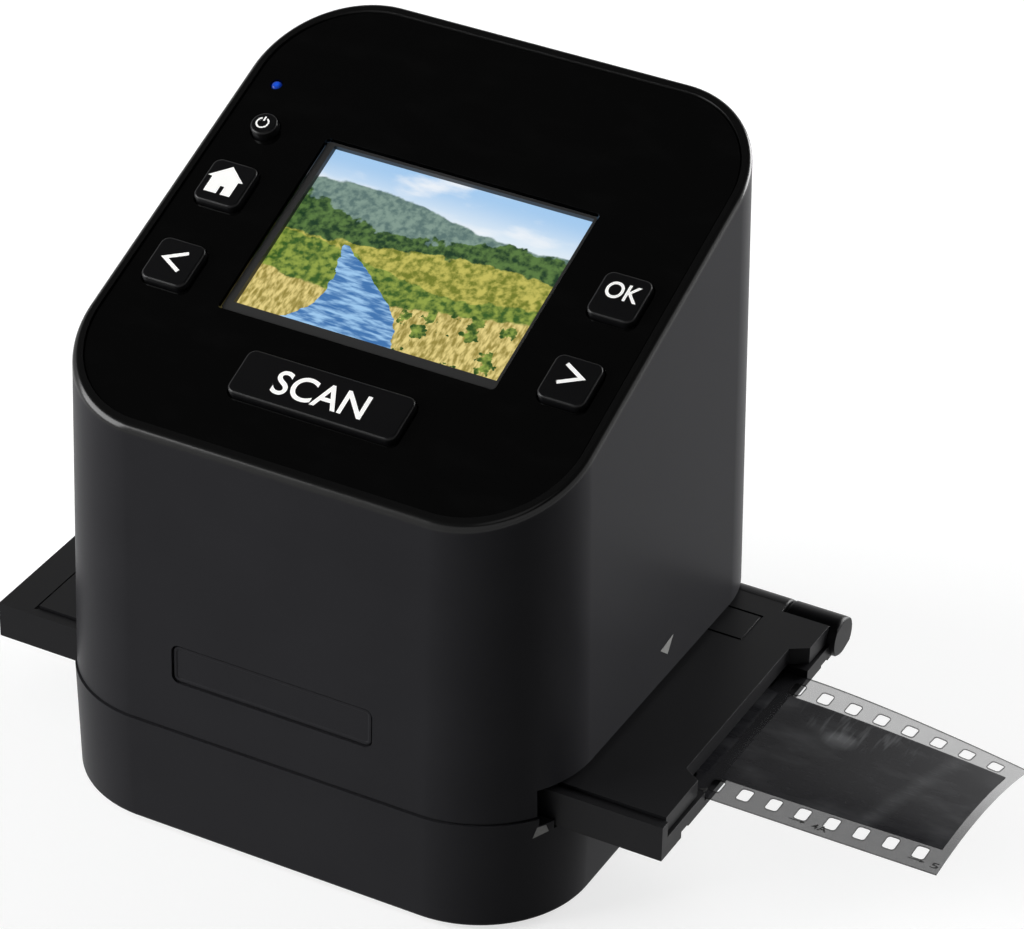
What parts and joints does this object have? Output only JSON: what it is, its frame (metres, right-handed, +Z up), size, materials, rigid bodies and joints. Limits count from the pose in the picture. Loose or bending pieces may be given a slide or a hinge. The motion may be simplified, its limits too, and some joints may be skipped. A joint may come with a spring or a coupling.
{
  "type": "film negative scanner",
  "caption": "Upright black film scanner with a tilted glossy control panel, colour screen, push buttons and a hinged film carrier that slides through its base.",
  "frame": {"origin": "centre of the base housing's flat underside; the rubber feet reach 0.8 mm below it", "axes": "+Z up, +X to the right, the side where the film strip stands out, +Y to the back, towards the panel's high edge"},
  "size_m": [0.1534, 0.0846, 0.1038],
  "materials": {
    "housing_black": "satin moulded plastic, nearly black",
    "panel_gloss": "high gloss black",
    "button_black": "satin black with white legends",
    "carrier_black": "fine matte moulded plastic",
    "inner_black": "plain black",
    "screen_grey": "dark grey",
    "screen_picture": "lit colour screen behind a clear window",
    "print_white": "printed white legend",
    "status_blue": "clear blue lamp",
    "foot_rubber": "matte rubber",
    "steel": "plain steel",
    "white_plastic": "matte white",
    "board_green": "solder mask",
    "cable_amber": "amber film",
    "lens_glass": "clear",
    "film": "clear grey film base with a dark image"
  },
  "bodies": {
    "housing": {"upper_housing": "housing_black", "base_housing": "housing_black", "foot_front_left": "foot_rubber", "foot_front_right": "foot_rubber", "foot_back_left": "foot_rubber", "foot_back_right": "foot_rubber", "case_screw_front_left": "steel", "case_screw_front_right": "steel", "case_screw_back_left": "steel", "case_screw_back_right": "steel", "guide_rail_front": "inner_black", "guide_rail_back": "inner_black", "light_box": "white_plastic", "backlight_board": "board_green", "backlight_lamp_1": "white_plastic", "backlight_lamp_2": "white_plastic", "backlight_lamp_3": "white_plastic", "diffuser": "white_plastic", "film_gate": "inner_black", "light_tunnel": "inner_black", "lens_barrel": "inner_black", "lens_element": "lens_glass", "image_sensor": "screen_grey", "sensor_board": "board_green", "main_board": "board_green", "usb_socket": "steel", "video_jack": "inner_black", "card_socket": "steel", "display_cable": "cable_amber", "sensor_cable": "cable_amber", "top_panel": "panel_gloss", "panel_bezel": "inner_black", "screen_frame": "screen_grey", "screen_glass": "screen_picture", "display_module": "steel", "key_board": "board_green", "status_light_pipe": "status_blue", "home_switch": "inner_black", "left_switch": "inner_black", "ok_switch": "inner_black", "right_switch": "inner_black", "scan_switch": "inner_black", "power_switch": "inner_black", "front_badge": "housing_black"},
    "film_carrier": {"carrier_frame": "carrier_black", "hinge_pin": "steel"},
    "lid": {"carrier_lid": "carrier_black"},
    "film": {"film_strip": "film"},
    "home_key": {"home_button": "button_black"},
    "left_key": {"left_button": "button_black"},
    "ok_key": {"ok_button": "button_black"},
    "right_key": {"right_button": "button_black"},
    "scan_key": {"scan_button": "button_black"},
    "power_key": {"power_button": "button_black"}
  },
  "joints": [
    {"name": "carrier_slide", "type": "slide", "parent": "housing", "child": "film_carrier", "axis": [1, 0, 0], "range_m": [-0.105, 0.101]},
    {"name": "lid_hinge", "type": "hinge", "parent": "film_carrier", "child": "lid", "pos_m": [0, 0.0295, 0.0201], "axis": [-1, 0, 0], "range_deg": [0, 0.6]},
    {"name": "film_slide", "type": "slide", "parent": "film_carrier", "child": "film", "axis": [1, 0, 0], "range_m": [-0.0037, 0.105]},
    {"name": "home_press", "type": "slide", "parent": "housing", "child": "home_key", "axis": [0, 0.3738, -0.9275], "range_m": [0, 0.0008], "stiffness_N_per_m": 600, "springref_m": -0.0004},
    {"name": "left_press", "type": "slide", "parent": "housing", "child": "left_key", "axis": [0, 0.3738, -0.9275], "range_m": [0, 0.0008], "stiffness_N_per_m": 600, "springref_m": -0.0004},
    {"name": "ok_press", "type": "slide", "parent": "housing", "child": "ok_key", "axis": [0, 0.3738, -0.9275], "range_m": [0, 0.0008], "stiffness_N_per_m": 600, "springref_m": -0.0004},
    {"name": "right_press", "type": "slide", "parent": "housing", "child": "right_key", "axis": [0, 0.3738, -0.9275], "range_m": [0, 0.0008], "stiffness_N_per_m": 600, "springref_m": -0.0004},
    {"name": "scan_press", "type": "slide", "parent": "housing", "child": "scan_key", "axis": [0, 0.3738, -0.9275], "range_m": [0, 0.0008], "stiffness_N_per_m": 600, "springref_m": -0.0004},
    {"name": "power_press", "type": "slide", "parent": "housing", "child": "power_key", "axis": [0, 0.3738, -0.9275], "range_m": [0, 0.0008], "stiffness_N_per_m": 600, "springref_m": -0.0004}
  ]
}
